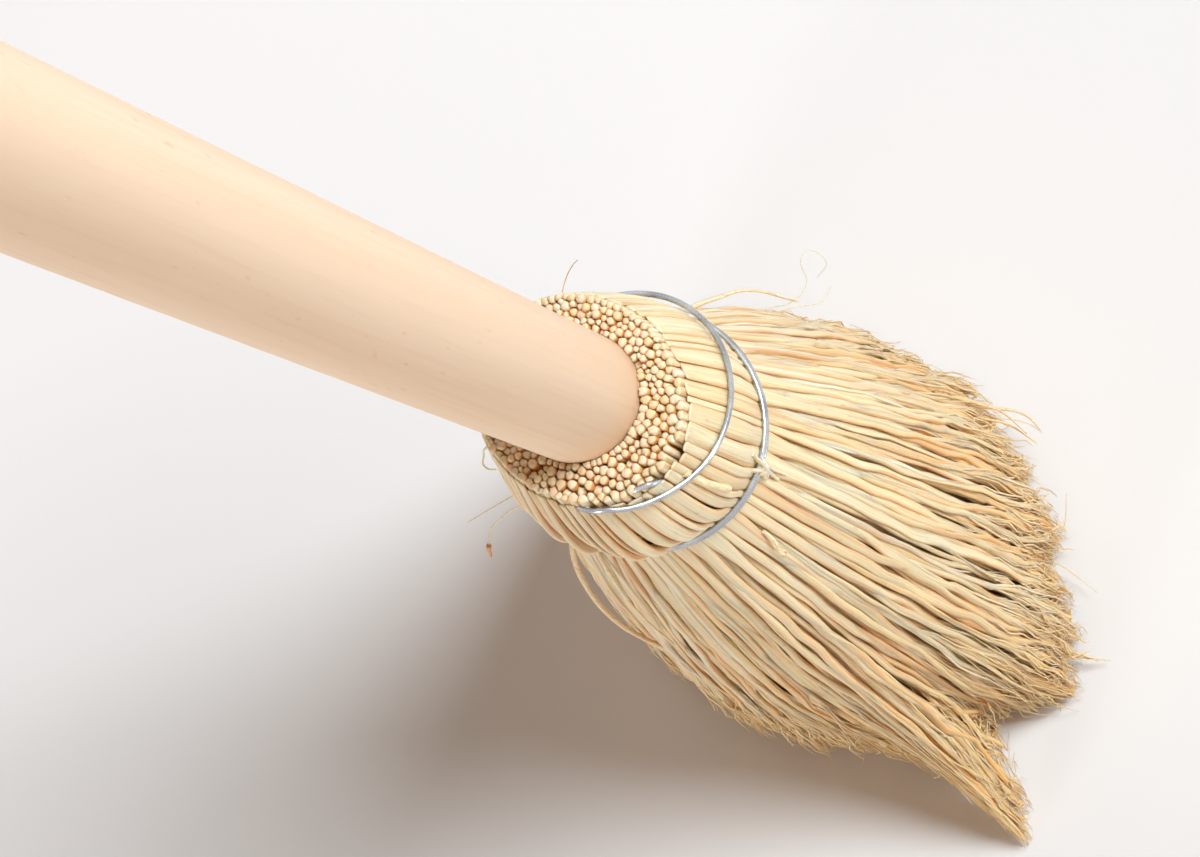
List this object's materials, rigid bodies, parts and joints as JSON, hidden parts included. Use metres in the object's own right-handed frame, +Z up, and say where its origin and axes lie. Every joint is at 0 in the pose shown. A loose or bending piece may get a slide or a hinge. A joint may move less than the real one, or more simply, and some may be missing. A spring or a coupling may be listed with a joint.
{
  "type": "straw broom",
  "caption": "Small round straw broom: a turned wooden handle bound into a flaring head of layered straw bunches by wound steel wire, with flat-cut stalk ends round the handle.",
  "frame": {"origin": "centre of the foot of the straw, on the floor that the broom stands on", "axes": "+Z up the handle, X across the wide side of the head, Y across its deep side"},
  "size_m": [0.124, 0.0957, 0.7],
  "materials": {
    "handle_wood": "bare sanded pale beech, dry and matt, with a faint long grain",
    "outer_straw": "dried pale yellow straw stalks, slightly waxy, tan towards the frayed tips",
    "inner_straw": "dried straw stalks in shade, matt, tan towards the frayed tips",
    "galvanised_wire": "smooth galvanised wire with bright streaks",
    "nail_steel": "plain wire nail, dull grey"
  },
  "bodies": {
    "root": {"handle": "handle_wood", "outer_binding_wire": "galvanised_wire", "inner_binding_wire": "galvanised_wire", "outer_wire_nail": "nail_steel", "inner_wire_nail": "nail_steel", "outer_straw_01": "outer_straw", "outer_straw_02": "outer_straw", "outer_straw_03": "outer_straw", "outer_straw_04": "outer_straw", "outer_straw_05": "outer_straw", "outer_straw_06": "outer_straw", "outer_straw_07": "outer_straw", "outer_straw_08": "outer_straw", "outer_straw_09": "outer_straw", "outer_straw_10": "outer_straw", "outer_straw_11": "outer_straw", "outer_straw_12": "outer_straw", "outer_straw_13": "outer_straw", "outer_straw_14": "outer_straw", "outer_straw_15": "outer_straw", "outer_straw_16": "outer_straw", "middle_straw_01": "inner_straw", "middle_straw_02": "inner_straw", "middle_straw_03": "inner_straw", "middle_straw_04": "inner_straw", "middle_straw_05": "inner_straw", "middle_straw_06": "inner_straw", "middle_straw_07": "inner_straw", "middle_straw_08": "inner_straw", "middle_straw_09": "inner_straw", "middle_straw_10": "inner_straw", "middle_straw_11": "inner_straw", "middle_straw_12": "inner_straw", "inner_straw_01": "inner_straw", "inner_straw_02": "inner_straw", "inner_straw_03": "inner_straw", "inner_straw_04": "inner_straw", "inner_straw_05": "inner_straw", "inner_straw_06": "inner_straw", "inner_straw_07": "inner_straw", "inner_straw_08": "inner_straw", "inner_straw_09": "inner_straw", "inner_straw_10": "inner_straw"}
  },
  "joints": []
}
